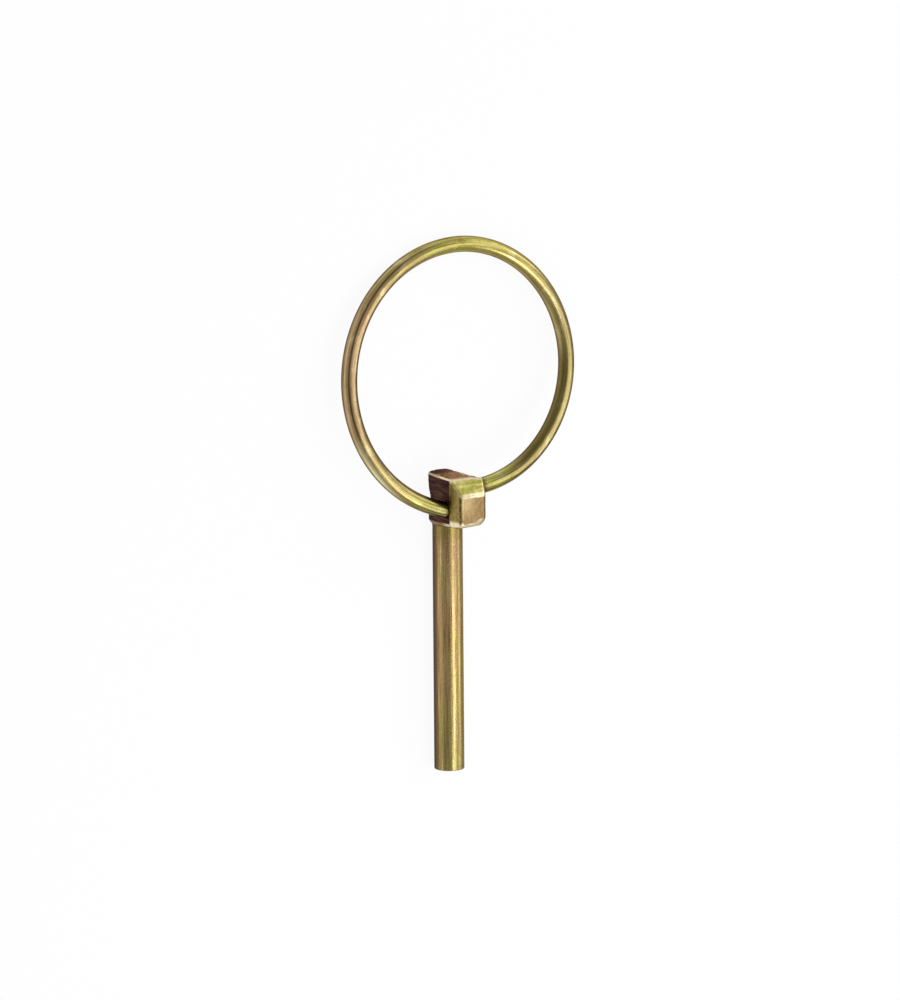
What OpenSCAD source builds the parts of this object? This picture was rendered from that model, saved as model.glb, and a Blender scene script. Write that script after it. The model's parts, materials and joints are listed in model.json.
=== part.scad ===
// Lynch pin: a forged steel pin with a beaked head, and a sprung wire ring that flips over it.
// The pin lies along Y with its tip towards -Y, on a floor at z = -shank_d / 2, with its beak up.
// The origin is on the shank's axis, at the head's underside.

/* [Shank] */
// Diameter of the shank
shank_d = 6; // [4:0.5:10]
// Length of the shank below the head
shank_l = 50; // [30:1:80]

/* [Head] */
// Height of the head along the pin, at its back
head_h = 9.7; // [7.8:0.1:14]
// How far each flat, which an end of the ring enters, lies outside the shank
flat_margin = 0.6; // [0.2:0.1:2]
// Flat left between the ring's line of holes and the beak's step
flat_end = 0.3; // [0.2:0.1:1]
// How far the beak stands proud of each flat
flat_step = 0.25; // [0.1:0.05:0.6]
// Radius of the head's two back corners
back_r = 2.5; // [1:0.1:2.9]
// Distance from the shank's axis to the beak's front face
beak_z = 9.75; // [8.1:0.05:13]
// Width of the beak's front face
beak_w = 5.6; // [3:0.1:7]
// How far the front face's upper edge lies below the top of the head's back
beak_drop = 2.9; // [1.5:0.1:4]
// Height of the front face's lower edge above the head's underside, before rounding
beak_rise = 1; // [0:0.1:2]
// Radius of the beak's lower edge
beak_r = 1.2; // [0.4:0.1:1.8]
// How much higher the head is at the top of the beak than at its back
crown_rise = 0.6; // [0:0.1:1.5]

/* [Ring] */
// Diameter of the spring wire
wire_d = 3.2; // [2:0.1:4]
// Mean radius of the wire's centre line
ring_r = 25.25; // [20:0.25:35]
// Half of the difference between the radii of the ring's two halves, which sets its ends apart
ring_split = 1.1; // [0.8:0.05:1.4]
// How far the ring sits to one side of the head
ring_shift = 2.8; // [0:0.1:3.5]
// How far the ring's line of ends lies below the top of the head's back
ring_drop = 4.3; // [3.9:0.1:5]
// Distance from the shank's axis to the ring's line of ends
ring_z = 4.9; // [3.5:0.1:5.2]
// Depth of the holes for the ring's ends, along the wire
hole_depth = 2.5; // [1.5:0.1:2.6]
// Radial clearance of the wire in its holes
hole_gap = 0.1; // [0.05:0.01:0.25]
// Gap between each end of the wire and the bottom of its hole
end_gap = 0.3; // [0.2:0.1:0.5]

/* [Hidden] */
$fn = 96;

// Depth of the ramp from a flat to the full width of the beak
step_run = 0.25;
// Length of full width before the beak begins to narrow
step_land = 0.1;
// Length by which a cutting or joining shape runs past its face
overrun = 1;

shank_r = shank_d / 2;
wire_r = wire_d / 2;
hole_r = wire_r + hole_gap;
flat_x = shank_r + flat_margin;
step_x = flat_x + flat_step;
flat_z = ring_z + hole_r + flat_end;
step_z = flat_z + step_run;
root_z = step_z + step_land;
crown_y = head_h + crown_rise;
beak_y = head_h - beak_drop;
ring_y = head_h - ring_drop;

// The ring lies back from the head until its far side rests on the floor that the shank rests on
ring_lean = asin((ring_z + shank_r - wire_r) / (2 * ring_r));

// Radius of the half of the ring on each side, -1 for -X and 1 for +X
function half_r(side) = ring_r - side * ring_split;

// Angle from the ring's lowest line to the point where a half meets its flat
function end_angle(side) = asin((flat_x - side * ring_shift) / half_r(side));

// Height, in the ring's plane, of the point where a half meets its flat
function end_y(side) = 2 * ring_r - half_r(side) * (1 + cos(end_angle(side)));

// Angle by which a half runs on past its flat into its hole
function end_turn(side) = (hole_depth - end_gap) / half_r(side) * 180 / PI;

// Places its children in the ring's plane, with X across and Y away from the head
module ring_plane() {
    translate([0, ring_y, ring_z]) rotate([-ring_lean, 0, 0]) children();
}

// Straight hole for the wire's end on one side, from outside the flat to the hole's depth
module end_hole(side) {
    translate([side * flat_x, end_y(side), 0])
        rotate([0, 0, side * (end_angle(side) - end_turn(side) / 2)])
            rotate([0, -side * 90, 0])
                translate([0, 0, -overrun])
                    cylinder(r = hole_r, h = overrun + hole_depth);
}

// The head seen along the pin: round back, two flats, and a beak that narrows to its front face
module head_plan() {
    for (side = [-1, 1])
        translate([side * (flat_x - back_r), back_r - shank_r]) circle(back_r);
    translate([back_r - flat_x, -shank_r]) square([2 * (flat_x - back_r), back_r]);
    polygon([
        [-flat_x, back_r - shank_r], [flat_x, back_r - shank_r],
        [flat_x, flat_z], [step_x, step_z], [step_x, root_z],
        [beak_w / 2, beak_z], [-beak_w / 2, beak_z],
        [-step_x, root_z], [-step_x, step_z], [-flat_x, flat_z]
    ]);
}

// The head seen across the flats: level over the shank, rising under the beak, with a sloping beak top
module head_side() {
    difference() {
        polygon([
            [0, -shank_r], [0, shank_r], [beak_rise, beak_z], [beak_y, beak_z],
            [crown_y, root_z], [head_h, -shank_r]
        ]);
        translate([beak_rise - overrun, beak_z - beak_r]) square(beak_r + overrun);
    }
    intersection() {
        translate([beak_rise + beak_r, beak_z - beak_r]) circle(beak_r);
        translate([beak_rise - beak_r, beak_z - beak_r]) square(2 * beak_r);
    }
}

module pin() {
    color("goldenrod") difference() {
        union() {
            intersection() {
                translate([0, crown_y + overrun, 0]) rotate([90, 0, 0])
                    linear_extrude(crown_y + overrun) head_plan();
                translate([-step_x - overrun, 0, 0]) rotate([90, 0, 90])
                    linear_extrude(2 * (step_x + overrun)) head_side();
            }
            translate([0, overrun, 0]) rotate([90, 0, 0])
                cylinder(r = shank_r, h = shank_l + overrun);
        }
        ring_plane() for (side = [-1, 1]) end_hole(side);
    }
}

module ring() {
    color("darkkhaki") ring_plane() for (side = [-1, 1])
        translate([ring_shift, 2 * ring_r - half_r(side), 0])
            mirror([side > 0 ? 1 : 0, 0, 0])
                rotate([0, 0, 90])
                    rotate_extrude(angle = 180 - end_angle(side) + end_turn(side))
                        translate([half_r(side), 0]) circle(wire_r);
}

pin();
ring();
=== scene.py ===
"""Lynch pin: the forged pin and its sprung wire ring, finished in yellow-passivated zinc.

Shapes are worked out in millimetres in the row frame and handed to Blender in metres.
X runs along the ring's hinge, +Y from the shank towards the ring, and +Z towards the beak.
"""

import json
from math import asin, atan2, cos, hypot, pi, radians, sin

import bpy
import numpy as np
from mathutils import Matrix, Vector, noise


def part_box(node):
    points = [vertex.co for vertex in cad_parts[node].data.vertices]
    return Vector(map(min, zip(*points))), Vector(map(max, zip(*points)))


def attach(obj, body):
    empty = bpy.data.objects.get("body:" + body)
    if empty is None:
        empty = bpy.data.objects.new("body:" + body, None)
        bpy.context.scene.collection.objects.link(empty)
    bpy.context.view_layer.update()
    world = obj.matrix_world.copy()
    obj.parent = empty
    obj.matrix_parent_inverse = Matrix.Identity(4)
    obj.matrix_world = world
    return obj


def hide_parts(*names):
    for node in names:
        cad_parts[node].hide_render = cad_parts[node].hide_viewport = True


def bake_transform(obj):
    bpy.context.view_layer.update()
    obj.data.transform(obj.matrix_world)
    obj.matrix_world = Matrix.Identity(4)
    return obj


MM = 0.001

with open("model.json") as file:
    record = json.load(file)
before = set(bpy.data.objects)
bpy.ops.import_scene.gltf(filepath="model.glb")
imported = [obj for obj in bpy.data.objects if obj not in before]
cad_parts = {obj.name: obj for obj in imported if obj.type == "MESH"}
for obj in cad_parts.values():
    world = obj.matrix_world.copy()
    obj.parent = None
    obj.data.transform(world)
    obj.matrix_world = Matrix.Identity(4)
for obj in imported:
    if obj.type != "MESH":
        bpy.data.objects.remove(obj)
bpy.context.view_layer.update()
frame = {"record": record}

pin_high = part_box("pin")[1] / MM
shank = frame["record"]["mounts"][0]["dims"]

# The pin
SHANK_R = shank["r_mm"]
SHANK_L = shank["length_mm"]
FLOOR_Z = -SHANK_R
FLAT_STEP = 0.25
STEP_X = pin_high.x
FLAT_X = STEP_X - FLAT_STEP
FLAT_END_Z = 6.9
BEAK_ROOT_Z = 7.25
BEAK_FRONT_Z = pin_high.z
BEAK_HALF_W = 2.8
BEAK_TOP_Y = 7.25
BEAK_RISE = 0.8
CROWN_Y = pin_high.y
BACK_CORNER_R = 2.5
HOLE_DEPTH = 2.5
HOLE_GAP = 0.1
BORE_OUT = 2
ROD_TOP_Y = 1.5
WAIST_DEPTH = 0.45
SHEAR_DROP = 0.8

# How far the head's form stands out before make_pin cuts it back to the CAD's box
FORGED_OUT = 0.1

# Radii of the pin's edges
SHARP_R = 0.1
TAPER_R = 0.3
CROWN_R = 0.5
FRONT_R = 0.45
SIDE_R = 0.6
UNDER_R = 1.1
UNDER_CORNER_R = 2.0
NECK_FILLET_R = 0.45
TIP_R = 0.12

# The ring
WIRE_R = 1.6
RING_R = 25.25
RING_SPLIT = 1.1
RING_SHIFT = 2.8
RING_Y = 5.4
RING_Z = 4.9
END_GAP = 0.3
BEND_FROM_X = -3.8
BEND_TO_X = -17.4
RING_LEAN = asin((RING_Z - FLOOR_Z - WIRE_R) / (2 * RING_R))


# ---------------------------------------------------------------- camera and light

VIEW_TURN = radians(-31.98)
VIEW_RISE = radians(12.825)
VIEW_ROLL = radians(-0.459)
VIEW_TARGET = Vector((0.476, 4.509, 0.271))
VIEW_DISTANCE = 2500
LENS_MM = 455.4
SENSOR_MM = 36
SIGHT_M = 20
WORLD_LEVEL = 0.54
LEVEL_SIZE_M = 8
PAPER = 0.94
FLOOR_WHITE = 0.93
BACKDROP_Z = -60


def facing(turn, rise, roll=0.0):
    """Axes of a camera or lamp that looks back at the pin, with the ring's side up."""
    back = Vector((sin(turn) * cos(rise), sin(rise), cos(turn) * cos(rise)))
    right = Vector((cos(turn), 0, -sin(turn)))
    axes = Matrix((right, back.cross(right), back)).transposed()
    return axes @ Matrix.Rotation(roll, 3, "Z")


def place(thing, turn, rise, distance, roll=0.0):
    """Puts a camera or lamp in the scene, at a distance from VIEW_TARGET and turned to it."""
    axes = facing(turn, rise, roll)
    where = (VIEW_TARGET + distance * axes.col[2]) * MM
    thing.matrix_world = Matrix.Translation(where) @ axes.to_4x4()
    bpy.context.scene.collection.objects.link(thing)
    return thing


def make_camera():
    lens = bpy.data.cameras.new("camera")
    lens.lens = LENS_MM
    lens.sensor_width = SENSOR_MM
    lens.clip_end = SIGHT_M
    camera = bpy.data.objects.new("camera", lens)
    place(camera, VIEW_TURN, VIEW_RISE, VIEW_DISTANCE, roll=VIEW_ROLL)
    bpy.context.scene.camera = camera


def softbox(name, turn, rise, distance, size, level, colour=(1, 1, 1)):
    """A soft lamp as bright as level times white paper under plain light, and out of sight."""
    lamp = bpy.data.lights.new(name, "AREA")
    lamp.shape = "RECTANGLE"
    lamp.size, lamp.size_y = size[0] * MM, size[1] * MM
    lamp.energy = level * pi * lamp.size * lamp.size_y
    lamp.color = colour
    box = place(bpy.data.objects.new(name, lamp), radians(turn), radians(rise), distance)
    box.visible_camera = False


def make_lights():
    softbox("key_softbox", 10, -26, 345, (150, 235), 3.4, (0.98, 1, 1.04))
    softbox("wing_softbox", 24, 4, 700, (440, 320), 1.35, (0.97, 1, 1.06))
    softbox("far_softbox", 62, 32, 900, (520, 460), 2.4)
    softbox("side_softbox", 54, -12, 900, (380, 440), 1.8)
    softbox("left_softbox", -92, -12, 900, (360, 500), 0.8)
    world = bpy.data.worlds.new("studio")
    bpy.context.scene.world = world
    world.use_nodes = True
    background = world.node_tree.nodes["Background"]
    background.inputs["Color"].default_value = (WORLD_LEVEL, WORLD_LEVEL, WORLD_LEVEL, 1)


# ---------------------------------------------------------------- finishes


class Channel:
    """A number or colour that varies over a surface. Arithmetic on numbers adds Math nodes."""

    def __init__(self, finish, socket):
        self.finish, self.socket = finish, socket

    def maths(self, operation, *values):
        settings = {"operation": operation}
        return self.finish.add("ShaderNodeMath", settings, dict(enumerate(values)))[0]

    def __add__(self, other):
        return self.maths("ADD", self, other)

    def __sub__(self, other):
        return self.maths("SUBTRACT", self, other)

    def __rsub__(self, other):
        return self.maths("SUBTRACT", other, self)

    def __mul__(self, other):
        return self.maths("MULTIPLY", self, other)

    def __abs__(self):
        return self.maths("ABSOLUTE", self)

    __radd__, __rmul__ = __add__, __mul__

    def rises(self, low, high):
        """0 below low, 1 above high and smooth between, or a fall where high is below low."""
        settings = {"interpolation_type": "SMOOTHSTEP"}
        values = {"Value": self, "From Min": low, "From Max": high}
        return self.finish.add("ShaderNodeMapRange", settings, values)[0]


class Finish:
    """One material and its nodes."""

    def __init__(self, name, metallic=1):
        self.material = bpy.data.materials.new(name)
        self.material.use_nodes = True
        self.tree = self.material.node_tree
        self.shader = self.tree.nodes["Principled BSDF"]
        self.feed(self.shader.inputs["Metallic"], metallic)
        self.feed(self.shader.inputs["Coat Weight"], 0.35 * metallic)
        self.feed(self.shader.inputs["Coat Roughness"], 0.25)
        self.feed(self.shader.inputs["Specular Tint"], (0.25, 0.19, 0.1, 1))

    def add(self, kind, settings=None, values=None):
        """Adds a node, and returns its live outputs as channels."""
        node = self.tree.nodes.new(kind)
        for key, value in (settings or {}).items():
            setattr(node, key, value)
        for key, value in (values or {}).items():
            self.feed(node.inputs[key], value)
        return [Channel(self, socket) for socket in node.outputs if socket.enabled]

    def named(self, kind, *names):
        """Outputs of a new node by their names."""
        outputs = {channel.socket.name: channel for channel in self.add(kind)}
        return [outputs[name] for name in names]

    def feed(self, socket, value):
        """Links a channel to a socket, or sets the socket to a plain value."""
        if isinstance(value, Channel):
            self.tree.links.new(value.socket, socket)
        else:
            socket.default_value = value

    def position(self):
        """Coordinates on the object, in millimetres."""
        point, = self.named("ShaderNodeTexCoord", "Object")
        return self.scaled(point, (1 / MM,) * 3)

    def scaled(self, vector, factors):
        settings = {"operation": "MULTIPLY"}
        return self.add("ShaderNodeVectorMath", settings, {0: vector, 1: factors})[0]

    def parts(self, vector):
        return self.add("ShaderNodeSeparateXYZ", None, {0: vector})

    def grain(self, vector, scale, detail=3.0, roughness=0.5):
        """Noise from 0 to 1 with its middle at 0.5."""
        values = {"Vector": vector, "Scale": scale, "Detail": detail, "Roughness": roughness}
        return self.add("ShaderNodeTexNoise", None, values)[0]

    def mix(self, amount, under, over):
        """A colour that goes from under to over as amount goes from 0 to 1."""
        factor, first, second = 0, 6, 7
        values = {factor: amount, first: under, second: over}
        return self.add("ShaderNodeMix", {"data_type": "RGBA"}, values)[0]

    def mix_shaders(self, amount, under, over):
        """A shader that goes from under to over as amount goes from 0 to 1."""
        return self.add("ShaderNodeMixShader", None, {0: amount, 1: under, 2: over})[0]

    def relief(self, height):
        """Shades a height in millimetres."""
        bump = self.add("ShaderNodeBump", None, {"Distance": MM, "Height": height})[0]
        self.feed(self.shader.inputs["Normal"], bump)


def srgb(red, green, blue):
    """A colour written as it looks on screen, from 0 to 255."""
    def linear(c):
        c /= 255
        return c / 12.92 if c <= 0.04045 else ((c + 0.055) / 1.055) ** 2.4
    return (linear(red), linear(green), linear(blue), 1)


def near(value, middle, reach):
    """1 at the middle, and 0 from reach away."""
    return abs(value - middle).rises(reach, 0)


def pin_finish():
    finish = Finish("passivated_zinc_pin")
    point = finish.position()
    x, y, z = finish.parts(point)
    nx, ny, nz = finish.parts(finish.named("ShaderNodeTexCoord", "Normal")[0])

    on_head = y.rises(-0.3, 0.3)
    sideways = abs(nx).rises(0.6, 0.9)
    on_flat = on_head * sideways * z.rises(FLAT_END_Z + 0.1, FLAT_END_Z - 0.1)
    on_top = ny.rises(0.7, 0.9) * y.rises(8.6, 9.0) * z.rises(7.3, 7.0)
    on_slope = ny.rises(0.2, 0.4) * z.rises(6.9, 7.2)
    on_front = nz.rises(0.8, 0.95) * z.rises(9.0, 9.5) * on_head

    mottle = finish.grain(point, 1.5, 4, 0.6)
    speck = finish.grain(point, 4, 2, 0.6)
    blotch = finish.grain(finish.scaled(point, (0.3, 0.1, 0.3)), 1, 3, 0.5)
    drawn = finish.grain(finish.scaled(point, (4, 0.1, 4)), 1, 4, 0.65)
    across = finish.grain(finish.scaled(point, (0.4, 4, 0.4)), 1, 4, 0.6)
    upward = finish.grain(finish.scaled(point, (0.4, 0.3, 4)), 1, 4, 0.6)
    band = finish.grain(finish.scaled(point, (0.15, 1.1, 1.1)), 1, 2, 0.4)
    by_head = y.rises(-20, -5)
    by_tip = y.rises(-36, -46)

    gold = finish.mix(blotch.rises(0.4, 0.65), srgb(164, 134, 86), srgb(158, 144, 76))
    # Greener and darker towards the tip: a green tone, and also painted shade that dims the
    # highlight there.
    gold = finish.mix(by_tip * 0.7, gold, srgb(140, 132, 68))
    gold = finish.mix(drawn.rises(0.52, 0.66), gold, srgb(108, 79, 47))
    gold = finish.mix(drawn.rises(0.46, 0.3) * 0.85, gold, srgb(204, 180, 130))
    gold = finish.mix(mottle.rises(0.55, 0.8) * 0.6, gold, srgb(152, 112, 78))
    # Painted shade: the shank's upper side is darker near the head, which dims its highlight there.
    gold = finish.mix(by_head * 0.45 * nz.rises(0.5, 0.8), gold, srgb(146, 116, 72))
    gold = finish.mix(speck.rises(0.6, 0.7) * (by_head * 0.6 + 0.3), gold, srgb(226, 208, 164))
    gold = finish.mix(speck.rises(0.42, 0.3) * 0.35, gold, srgb(114, 86, 53))
    # Painted reflection: a dark lengthwise band at one bearing on the shank's upper side.
    gold = finish.mix(near(nx, 0.12, 0.1) * nz.rises(0.8, 0.9) * 0.4, gold, srgb(112, 80, 46))
    # Painted highlight: a pale pinkish stripe along the shank's upper right, fading towards the
    # head.
    pink_highlight_stripe = near(nx, 0.34, 0.08) * nz.rises(0.8, 0.9) * (1 - by_head)
    gold = finish.mix(pink_highlight_stripe * 0.6, gold, srgb(190, 152, 112))
    # Darker olive just below the head: an olive tone, and also painted shade that dims the
    # highlight there.
    gold = finish.mix(y.rises(-5.5, -1) * 0.6, gold, srgb(124, 108, 38))
    # Painted shade: the shank is darker on its sides and darkest underneath.
    gold = finish.mix(nz.rises(0.34, 0.1) * 0.9, gold, srgb(100, 74, 42))
    gold = finish.mix(nz.rises(0.05, -0.3) * 0.8, gold, srgb(66, 49, 28))

    head = finish.mix(mottle.rises(0.35, 0.7), srgb(156, 134, 70), srgb(130, 110, 54))
    head = finish.mix(upward.rises(0.5, 0.65) * 0.45, head, srgb(96, 76, 38))
    slope = finish.mix(band.rises(0.38, 0.62), srgb(202, 190, 116), srgb(160, 158, 70))
    slope = finish.mix(mottle.rises(0.55, 0.8) * 0.3, slope, srgb(150, 144, 72))
    front = finish.mix(mottle.rises(0.35, 0.65), srgb(132, 104, 64), srgb(148, 124, 82))
    upper_left = y.rises(2.5, 5.5) * x.rises(1.4, -1.6)
    front = finish.mix(upper_left * 0.6, front, srgb(190, 168, 118))
    front = finish.mix(speck.rises(0.6, 0.75) * 0.5, front, srgb(112, 88, 56))
    flat = finish.mix(across.rises(0.4, 0.65), srgb(68, 43, 44), srgb(108, 80, 64))
    flat = finish.mix(blotch.rises(0.45, 0.65) * 0.5, flat, srgb(72, 48, 66))
    top = finish.mix(upward.rises(0.42, 0.54), srgb(54, 32, 28), srgb(164, 120, 94))
    glints = speck.rises(0.46, 0.56) * upward.rises(0.35, 0.55) * (x + z * 0.6).rises(-2.5, 2)
    top = finish.mix(glints, top, srgb(226, 188, 150))
    top = finish.mix(z.rises(1.6, 0) * 0.6, top, srgb(50, 32, 30))
    # Painted highlight: the top is lighter towards its front left.
    top = finish.mix(z.rises(5.2, 6.4) * x.rises(1.8, -0.4), top, srgb(206, 168, 132))
    head = finish.mix(on_slope, head, slope)
    head = finish.mix(on_front, head, front)
    head = finish.mix(on_flat, head, flat)
    head = finish.mix(on_top, head, top)

    # Painted highlights: cream on the rounded edges of the top, crown, slope, underside and column
    # foot, broken up by mottle.
    top_edge = ny.rises(0.1, 0.3) * ny.rises(0.99, 0.93) * y.rises(8.6, 9.2) * z.rises(7.6, 7.2)
    top_edge = top_edge * (z.rises(0.5, 4) * 0.45 + 0.55)
    crown_edge = near(ny, 0.85, 0.2) * z.rises(6.2, 6.9)
    slope_edge = ny.rises(0.1, 0.22) * ny.rises(0.54, 0.44) * z.rises(8.4, 9.0)
    slope_edge = slope_edge * (x * 0.2 + 0.85)
    low_edge = ny.rises(-0.12, -0.35) * ny.rises(-0.97, -0.88) * y.rises(0.0, 0.1)
    low_edge = low_edge * (z.rises(3.4, 6) * 0.75 + 0.3) * x.rises(3, 1.4)
    column_foot = y.rises(2.4, 1.4) * z.rises(6.7, 7.2) * nx.rises(-0.1, -0.4) * 1.2
    painted_edge_highlights = top_edge + crown_edge + slope_edge * 1.2 + low_edge + column_foot
    head = finish.mix(painted_edge_highlights * mottle.rises(0.28, 0.46), head, srgb(246, 230, 190))
    # Painted shade: a dark line along the rounded edges beside the front, and the beak's right side
    # face darkened; also real dark pits on the faces that look down.
    front_edge_shade = near(nz, 0.74, 0.2) * near(ny, 0, 0.3) * z.rises(8.4, 9.0) * mottle.rises(0.3, 0.5)
    right_side_shade = nx.rises(0.4, 0.7) * z.rises(6.9, 7.4)
    pits = ny.rises(-0.6, -0.85) * speck.rises(0.46, 0.58)
    pits_and_painted_shade = front_edge_shade * 0.9 + right_side_shade * 0.85 + pits * 0.85
    head = finish.mix(pits_and_painted_shade, head, srgb(74, 54, 28))
    finish.feed(finish.shader.inputs["Base Color"], finish.mix(on_head, gold, head))

    rough_part = on_flat + on_top
    finish.feed(finish.shader.inputs["Coat Weight"], rough_part * -0.3 + 0.35)
    dull = on_head * 0.06 + rough_part * 0.2 + by_head * 0.06 + mottle * 0.1 + drawn * 0.1 + 0.18
    finish.feed(finish.shader.inputs["Roughness"], dull)
    grooves = (1 - on_head) * drawn + on_head * (1 - on_flat) * upward + on_flat * across
    finish.relief(grooves * 0.02 + mottle * 0.02)
    return finish.material


def ring_finish():
    finish = Finish("passivated_zinc_ring")
    run, turn = finish.parts(finish.add("ShaderNodeUVMap", {"uv_map": "wire"})[0])[:2]
    angle = turn * (2 * pi)
    out = finish.add("ShaderNodeMath", {"operation": "COSINE"}, {0: angle})[0]
    up = finish.add("ShaderNodeMath", {"operation": "SINE"}, {0: angle})[0]
    degrees = turn * 360

    def lengthwise(pace, fineness):
        values = {0: run * pace, 1: out * fineness, 2: up * fineness}
        return finish.add("ShaderNodeCombineXYZ", None, values)[0]

    drawn = finish.grain(lengthwise(0.06, 5), 1, 4, 0.7)
    mottle = finish.grain(lengthwise(0.8, 2), 1, 4, 0.6)
    blotch = finish.grain(lengthwise(0.05, 0.5), 1, 2)
    patch = finish.grain(lengthwise(0.3, 0.8), 1, 3)
    far_part = near(run, 78, 24)
    tan_part = near(run, 42, 26)
    gold = finish.mix(far_part, srgb(162, 146, 86), srgb(180, 170, 80))
    gold = finish.mix(tan_part * 1.4, gold, srgb(176, 148, 104))
    # Greener and darker near the left end: a green tone, and also painted shade that dims the
    # highlight there.
    gold = finish.mix(near(run, 6, 9) * 0.9, gold, srgb(146, 146, 66))
    gold = finish.mix(near(run, 150, 9), gold, srgb(184, 180, 84))
    gold = finish.mix(blotch.rises(0.5, 0.65) * 0.4, gold, srgb(164, 132, 92))
    gold = finish.mix(patch.rises(0.45, 0.3) * 0.5, gold, srgb(222, 208, 158))
    gold = finish.mix(patch.rises(0.55, 0.7) * 0.45, gold, srgb(120, 104, 50))
    gold = finish.mix(drawn.rises(0.52, 0.66) * 0.9, gold, srgb(104, 84, 42))
    gold = finish.mix(drawn.rises(0.46, 0.3) * 0.9, gold, srgb(222, 208, 160))
    gold = finish.mix(mottle.rises(0.5, 0.8) * 0.4, gold, srgb(172, 130, 96))
    # Painted reflection: a dark band along the left arc at one bearing around the wire.
    dark_reflection_band = near(degrees, 56, 11) * run.rises(22, 32) * run.rises(76, 62)
    gold = finish.mix(dark_reflection_band * 0.95, gold, srgb(78, 50, 20))
    # Painted shade: the inner side of the right arc is dark olive.
    inner = degrees.rises(108, 120) * degrees.rises(225, 200)
    inner = inner * run.rises(108, 120) * run.rises(147, 139)
    gold = finish.mix(inner * 0.8, gold, srgb(92, 80, 26))
    # Painted highlight: cream along the outer side of the lower left arc.
    cream_highlight = near(degrees, 32, 30) * near(run, 20, 9)
    gold = finish.mix(cream_highlight, gold, srgb(240, 230, 180))
    # Painted shadow: dark brown where the wire goes into the head, on the inner side near the left
    # end and all round just before the right end.
    left_entry_shadow = run.rises(7, 3.5) * degrees.rises(105, 150) * degrees.rises(300, 250)
    gold = finish.mix(left_entry_shadow + run.rises(151.4, 152.2) * 0.75, gold, srgb(64, 46, 30))
    # Painted shade: the wire's underside is darker, except under the cream highlight.
    underside_shade = finish.mix(far_part, srgb(108, 86, 50), srgb(114, 106, 52))
    gold = finish.mix(up.rises(0.3, -0.1) * (1 - cream_highlight) * 0.85, gold, underside_shade)
    # Painted shade: dark lines along the wire's edges at set bearings, near both ends of the ring.
    dark_edge_shade = near(degrees, 50, 20) * run.rises(100, 108) + near(degrees, 128, 22) * run.rises(62, 52)
    dark_edge_shade = dark_edge_shade + near(degrees, 205, 28) * run.rises(134, 142)
    gold = finish.mix(dark_edge_shade * 0.75, gold, srgb(84, 66, 34))
    finish.feed(finish.shader.inputs["Base Color"], gold)
    finish.feed(finish.shader.inputs["Roughness"], mottle * 0.12 + drawn * 0.1 + 0.14)
    finish.relief(drawn * 0.025 + mottle * 0.015)
    return finish.material


def white_finish(name, share, see_through=False):
    """Plain white by its share, and lit by the rest. Where see_through, what lies below shows."""
    finish = Finish(name, metallic=0)
    finish.feed(finish.shader.inputs["Base Color"], (PAPER, PAPER, PAPER, 1))
    finish.feed(finish.shader.inputs["Roughness"], 0.9)
    kinds = ("Is Camera Ray", "Is Glossy Ray", "Is Transmission Ray")
    camera, glossy, through = finish.named("ShaderNodeLightPath", *kinds)
    lit = Channel(finish, finish.shader.outputs[0])
    glow = finish.add("ShaderNodeEmission", None, {"Color": (1, 1, 1, 1), "Strength": 1})[0]
    shown = finish.mix_shaders((glossy + through) * share, lit, glow)
    amount, over = camera * share, glow
    if see_through:
        from_below, = finish.named("ShaderNodeNewGeometry", "Backfacing")
        amount = amount.maths("MAXIMUM", amount, from_below)
        over = finish.add("ShaderNodeBsdfTransparent")[0]
    shown = finish.mix_shaders(amount, shown, over)
    finish.feed(finish.tree.nodes["Material Output"].inputs["Surface"], shown)
    return finish.material


# ---------------------------------------------------------------- shapes


def mesh_piece(name, points, faces, finish):
    """An object from points in millimetres, with every face smooth."""
    mesh = bpy.data.meshes.new(name)
    mesh.from_pydata(np.asarray(points) * MM, [], faces)
    mesh.shade_smooth()
    mesh.materials.append(finish)
    piece = bpy.data.objects.new(name, mesh)
    bpy.context.scene.collection.objects.link(piece)
    return piece


def ring_plane(points):
    """Points of the ring's own plane, X across and Y away from the head, in the row frame."""
    x, y, z = np.asarray(points, float).T
    lean_c, lean_s = cos(RING_LEAN), sin(RING_LEAN)
    return np.stack([x, RING_Y + y * lean_c + z * lean_s, RING_Z - y * lean_s + z * lean_c], -1)


class Half:
    """One half of the ring, -1 on the -X side and 1 on the +X side."""

    def __init__(self, side):
        self.side = side
        self.r = RING_R - side * RING_SPLIT
        self.end = asin((FLAT_X - side * RING_SHIFT) / self.r)
        self.turn_in = (HOLE_DEPTH - END_GAP) / self.r

    def at(self, angle):
        """Centre-line points at angles from the ring's side nearest the head."""
        angle = np.asarray(angle, float)
        x = RING_SHIFT + self.side * self.r * np.sin(angle)
        y = 2 * RING_R - self.r - self.r * np.cos(angle)
        return np.stack([x, y, 0 * angle], -1)

    def outward(self, angle):
        """Unit vectors away from the ring's middle."""
        angle = np.asarray(angle, float)
        return np.stack([self.side * np.sin(angle), -np.cos(angle), 0 * angle], -1)

    def hole(self):
        """Where the hole's axis meets the flat, and the unit vector along it into the head."""
        mouth, inner = ring_plane(self.at([self.end, self.end - self.turn_in]))
        return mouth, (inner - mouth) / np.linalg.norm(inner - mouth)


LEFT, RIGHT = Half(-1), Half(1)


def round_and(a, b, r):
    """The shape that two signed distances share, with the edge between them rounded."""
    return np.minimum(np.maximum(a, b), -r) + np.hypot(np.maximum(a + r, 0), np.maximum(b + r, 0))


def round_or(a, b, r):
    """Two signed distances joined, with a fillet between them."""
    return -round_and(-a, -b, r)


def smooth(t):
    """0 below 0, 1 above 1 and a smooth rise between."""
    t = np.clip(t, 0, 1)
    return t * t * (3 - 2 * t)


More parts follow.
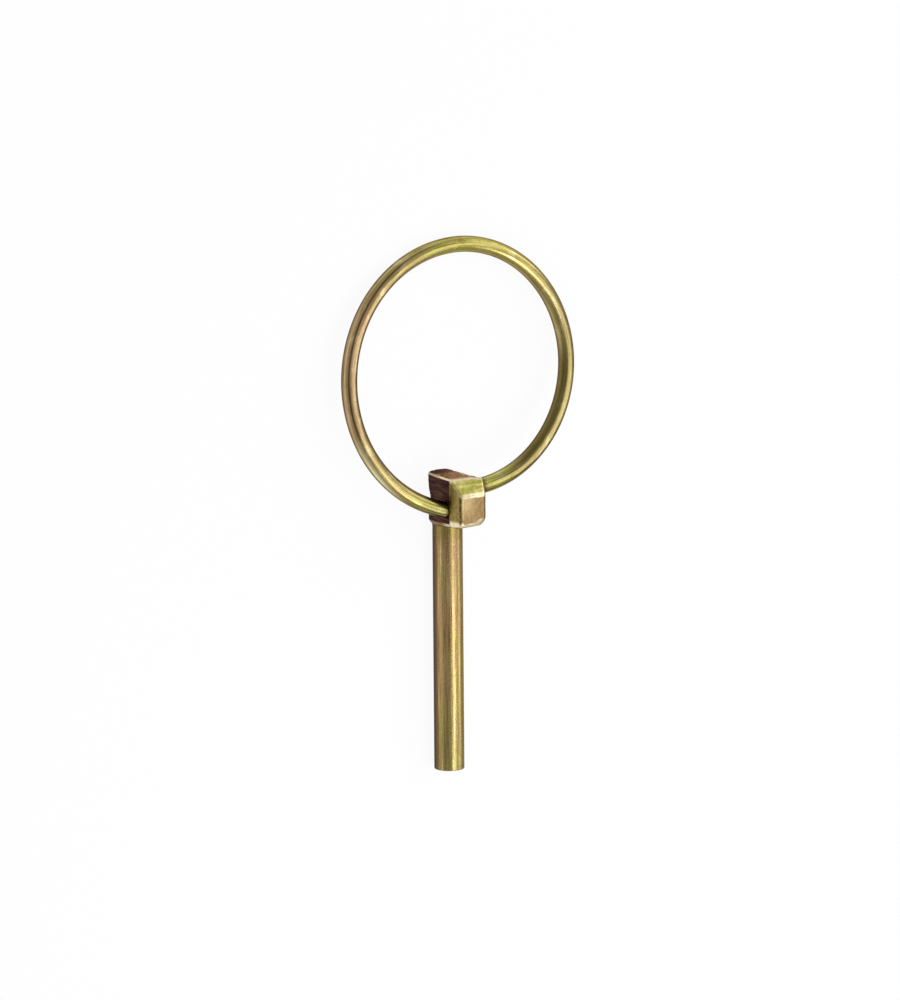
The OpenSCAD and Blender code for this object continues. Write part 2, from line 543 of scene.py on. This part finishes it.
def head_field(x, y, z):
    """Signed distance of the head, with its beak on the +Z side and a sheared top."""
    side = np.abs(x)
    waist = WAIST_DEPTH * np.exp(-((y - 4.8) / 2.0) ** 2) * smooth((1 - z) / 2.5)
    taper = atan2(STEP_X - BEAK_HALF_W, BEAK_FRONT_Z - BEAK_ROOT_Z)
    beak_side = (side - STEP_X - FORGED_OUT) * cos(taper) + (z - BEAK_ROOT_Z) * sin(taper)
    sides = round_and(side - STEP_X, beak_side, TAPER_R)
    recess = round_and(FLAT_X - side - waist, z - FLAT_END_Z, SHARP_R)
    sides = round_and(sides, -recess, SHARP_R)
    plan = round_and(sides, FLOOR_Z - z, BACK_CORNER_R)

    sheared = SHEAR_DROP * smooth((x - 0.3) / 3.6) * (1 - 0.5 * smooth((z - 2) / 5))
    top = y - CROWN_Y - FORGED_OUT + sheared
    run, drop = BEAK_FRONT_Z - BEAK_ROOT_Z, CROWN_Y - BEAK_TOP_Y
    slope = ((y - CROWN_Y) * run + (z - BEAK_ROOT_Z) * drop) / hypot(run, drop)
    crown = round_and(top, slope, CROWN_R)
    body = round_and(round_and(z - BEAK_FRONT_Z, crown, FRONT_R), plan, SIDE_R)
    lift = atan2(BEAK_RISE, BEAK_FRONT_Z - SHANK_R)
    under = np.maximum(-y, (z - SHANK_R) * sin(lift) - y * cos(lift))
    at_corner = smooth((z - 7.5) / 1.5) * smooth(x / 1.5)
    return round_and(body, under, UNDER_R + (UNDER_CORNER_R - UNDER_R) * at_corner)


def pin_field(x, y, z):
    """Signed distance of the whole pin, negative inside."""
    rod = round_and(np.hypot(x, z) - SHANK_R, -y - SHANK_L, TIP_R)
    rod = np.maximum(rod, y - ROD_TOP_Y)
    field = np.maximum(round_or(head_field(x, y, z), rod, NECK_FILLET_R), FLOOR_Z - z)
    for half in (LEFT, RIGHT):
        mouth, inward = half.hole()
        along = (x - mouth[0]) * inward[0] + (y - mouth[1]) * inward[1] + (z - mouth[2]) * inward[2]
        square = (x - mouth[0]) ** 2 + (y - mouth[1]) ** 2 + (z - mouth[2]) ** 2
        radial = np.sqrt(np.maximum(square - along ** 2, 0)) - WIRE_R - HOLE_GAP
        bore = np.maximum(np.maximum(radial, along - HOLE_DEPTH), -along - BORE_OUT)
        field = round_and(field, -bore, SHARP_R)
    return field


def skin(field, xs, ys, zs):
    """The surface where a field is 0, as quads and one point in each cell that it crosses."""
    axes = (xs, ys, zs)
    values = field(xs[:, None, None], ys[None, :, None], zs[None, None, :])
    inside = values < 0
    cells = tuple(n - 1 for n in values.shape)
    total, count = np.zeros((*cells, 3)), np.zeros(cells)
    crossings = []
    for d in range(3):
        lower, upper = [slice(None)] * 3, [slice(None)] * 3
        lower[d], upper[d] = slice(None, -1), slice(1, None)
        cut = np.argwhere(inside[tuple(lower)] != inside[tuple(upper)])
        after = cut.copy()
        after[:, d] += 1
        a, b = values[tuple(cut.T)], values[tuple(after.T)]
        point = np.stack([axes[k][cut[:, k]] for k in range(3)], -1)
        point[:, d] += a / (a - b) * (axes[d][after[:, d]] - axes[d][cut[:, d]])
        u, v = (d + 1) % 3, (d + 2) % 3
        corners = []
        for du, dv in ((0, 0), (-1, 0), (-1, -1), (0, -1)):
            cell = cut.copy()
            cell[:, u] += du
            cell[:, v] += dv
            np.add.at(total, tuple(cell.T), point)
            np.add.at(count, tuple(cell.T), 1)
            corners.append(cell)
        crossings.append((corners, a < 0))
    used = count > 0
    number = np.full(cells, -1)
    number[used] = np.arange(used.sum())
    points = total[used] / count[used][:, None]
    quads = []
    for corners, outward in crossings:
        quad = np.stack([number[tuple(c.T)] for c in corners], -1)
        quads.append(np.where(outward[:, None], quad, quad[:, ::-1]))
    return points, np.concatenate(quads)


def slope_of(field, points, step=0.01):
    """How a field changes along X, Y and Z at points."""
    grads = []
    for d in range(3):
        offset = np.zeros(3)
        offset[d] = step
        grads.append((field(*(points + offset).T) - field(*(points - offset).T)) / (2 * step))
    return np.stack(grads, -1)


def settle(field, points, rounds=3):
    """Moves points onto the surface, and returns them with its normals."""
    least, furthest = 0.05, 0.1
    for _ in range(rounds):
        g = slope_of(field, points)
        square = np.maximum((g ** 2).sum(-1, keepdims=True), least)
        points = points - np.clip(field(*points.T)[:, None] * g / square, -furthest, furthest)
    g = slope_of(field, points)
    return points, g / np.linalg.norm(g, axis=-1, keepdims=True)


def steps(*stretches):
    """Grid lines over stretches, each given as (from, to, spacing)."""
    lines = [np.linspace(a, b, round((b - a) / gap), endpoint=False) for a, b, gap in stretches]
    return np.concatenate([*lines, [stretches[-1][1]]])


def grit(points, scales, shift=0):
    """Smooth noise of about -1 to 1 at points, finer where the scales are larger."""
    return np.array([noise.noise(Vector(p)) for p in points * scales + shift])


def forge_marks(points, normals):
    """How far each point of the head stands out from its plain form."""
    y, z = points[:, 1], points[:, 2]
    side, up, front = np.abs(normals[:, 0]), normals[:, 1], normals[:, 2]
    sheared = smooth((up - 0.55) / 0.3) * smooth((y - 8.8) / 0.4) * smooth((7.4 - z) / 0.4)
    flat = smooth((side - 0.7) / 0.2) * smooth((FLAT_END_Z - z) / 0.2)
    beak = 1 - np.maximum(sheared, flat)
    marks = sheared * 0.16 * grit(points, (0.5, 0.5, 0.9))
    marks += sheared * 0.12 * grit(points, (1, 1, 2.4), 7)
    marks += flat * 0.035 * grit(points, (0.2, 2.2, 0.2), 3)
    marks += flat * 0.03 * grit(points, (0.5, 0.6, 0.5), 5)
    marks += beak * 0.03 * grit(points, (1.1, 1.1, 1.1), 11)
    marks += beak * 0.03 * grit(points, (0.35, 0.35, 0.35), 13)
    marks += beak * (front < 0.97) * 0.02 * grit(points, (0.2, 0.2, 3), 17)
    low_edge = np.exp(-((y - 0.5) / 0.5) ** 2) * smooth((front - 0.2) / 0.3)
    marks -= low_edge * 0.12 * np.maximum(grit(points, (1.6, 1.6, 1.6), 19), 0)
    return marks * smooth((y + 0.1) / 0.5)


def make_pin(finish):
    fine, along_tip, along_shank, margin = 0.11, 0.1, 0.5, 0.4
    tip_y, neck_y, above_y = -SHANK_L + 0.6, -1.2, 11.2
    xs = steps((-STEP_X - margin, STEP_X + margin, fine))
    zs = steps((FLOOR_Z - margin, BEAK_FRONT_Z + margin, fine))
    at_tip = (-SHANK_L - margin, tip_y, along_tip)
    ys = steps(at_tip, (tip_y, neck_y, along_shank), (neck_y, above_y, fine))
    points, quads = skin(pin_field, xs, ys, zs)
    points, normals = settle(pin_field, points)
    head = points[:, 1] > -0.1
    points[head] += normals[head] * forge_marks(points[head], normals[head])[:, None]
    points = np.clip(points, (-STEP_X, -SHANK_L, FLOOR_Z), (STEP_X, CROWN_Y, BEAK_FRONT_Z))
    piece = mesh_piece("pin_body", points, quads.tolist(), finish)
    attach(piece, "pin")
    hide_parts("pin")


def make_ring(finish):
    around, pace = 48, 0.3
    inner = LEFT.end - LEFT.turn_in
    left = np.linspace(inner, pi, round(LEFT.r * (pi - inner) / pace))
    outer = RIGHT.end - RIGHT.turn_in
    right = np.linspace(pi, outer, round(RIGHT.r * (pi - outer) / pace))
    line = np.concatenate([LEFT.at(left), RIGHT.at(right[1:])])
    out = np.concatenate([LEFT.outward(left), RIGHT.outward(right[1:])])
    turn = np.arange(around) / around * 2 * pi
    up = np.array([0, 0, 1.0])
    spokes = np.cos(turn)[None, :, None] * out[:, None] + np.sin(turn)[None, :, None] * up
    tube = line[:, None] + WIRE_R * spokes
    bend_from, split = (np.argmax(line[:, 0] < x) for x in (BEND_FROM_X, BEND_TO_X))
    run = np.concatenate([[0], np.cumsum(np.linalg.norm(np.diff(line, axis=0), axis=-1))])

    def stretch(name, rows):
        """One piece of the wire with a flat cap at each end, and its run and turn as a UV map."""
        points = ring_plane(tube[rows].reshape(-1, 3))
        n = len(tube[rows])
        i, j = np.meshgrid(np.arange(n - 1), np.arange(around), indexing="ij")
        corner = np.array([(0, 0), (0, 1), (1, 1), (1, 0)])
        rank, spoke = i.reshape(-1, 1) + corner[:, 0], j.reshape(-1, 1) + corner[:, 1]
        faces = (rank * around + spoke % around).tolist()
        first_cap, last_cap = (list(range(k * around, (k + 1) * around)) for k in (n, n + 1))
        faces += [first_cap[::-1], last_cap]
        points = np.concatenate([points, points[:around], points[-around:]])
        piece = mesh_piece(name, points, faces, finish)
        uv = np.zeros((len(piece.data.loops), 2))
        uv[:spoke.size, 0] = run[rows][rank.ravel()]
        uv[:spoke.size, 1] = spoke.ravel() / around
        piece.data.uv_layers.new(name="wire").data.foreach_set("uv", uv.ravel())
        for cap in piece.data.polygons[-2:]:
            cap.use_smooth = False
        return piece

    end = stretch("ring_left_end", slice(0, split + 1))
    loop = stretch("ring_loop", slice(split, None))
    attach(loop, "ring")
    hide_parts("ring")
    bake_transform(end)


def make_level(name, z, finish):
    """A wide level plane that isn't part of the object."""
    bpy.ops.mesh.primitive_plane_add(size=LEVEL_SIZE_M, location=(0, 0, z * MM))
    level = bpy.context.object
    level.name = name
    level.data.materials.append(finish)


bpy.context.scene.view_settings.view_transform = "Standard"
make_camera()
make_lights()
make_level("floor", FLOOR_Z, white_finish("clear_white_floor", FLOOR_WHITE, see_through=True))
make_level("backdrop", BACKDROP_Z, white_finish("white_backdrop", 1))
make_pin(pin_finish())
make_ring(ring_finish())
